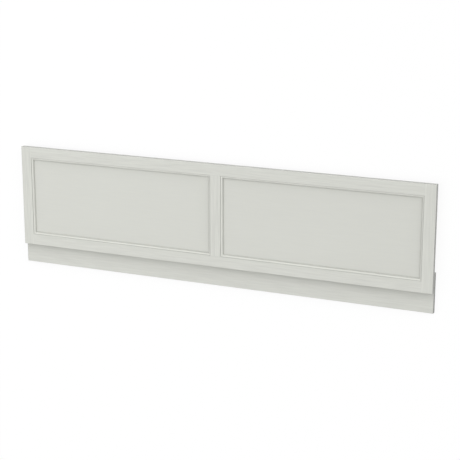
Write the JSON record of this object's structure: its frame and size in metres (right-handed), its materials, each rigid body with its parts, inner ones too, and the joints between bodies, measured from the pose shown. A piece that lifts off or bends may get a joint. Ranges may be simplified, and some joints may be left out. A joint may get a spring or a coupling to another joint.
{
  "type": "bath panel",
  "caption": "Framed bath front panel with recessed moulded fields and a centre stile, and a set-back plinth board behind its lower edge; closes the side of a bath.",
  "frame": {"origin": "under the middle of the whole outline, on the floor that the panel lies on", "axes": "+X along the length, +Y from the plinth up to the top edge, +Z out of the decorated front, which faces up"},
  "size_m": [1.7, 0.478, 0.036],
  "materials": {
    "frame_paint": "satin pale grey-green paint over board",
    "field_paint": "satin pale grey-green paint over thin board",
    "plinth_paint": "satin pale grey-green paint over board"
  },
  "bodies": {
    "root": {"left_stile": "frame_paint", "right_stile": "frame_paint", "bottom_rail": "frame_paint", "top_rail": "frame_paint", "centre_stile": "frame_paint", "left_field": "field_paint", "right_field": "field_paint", "plinth": "plinth_paint"}
  },
  "joints": []
}
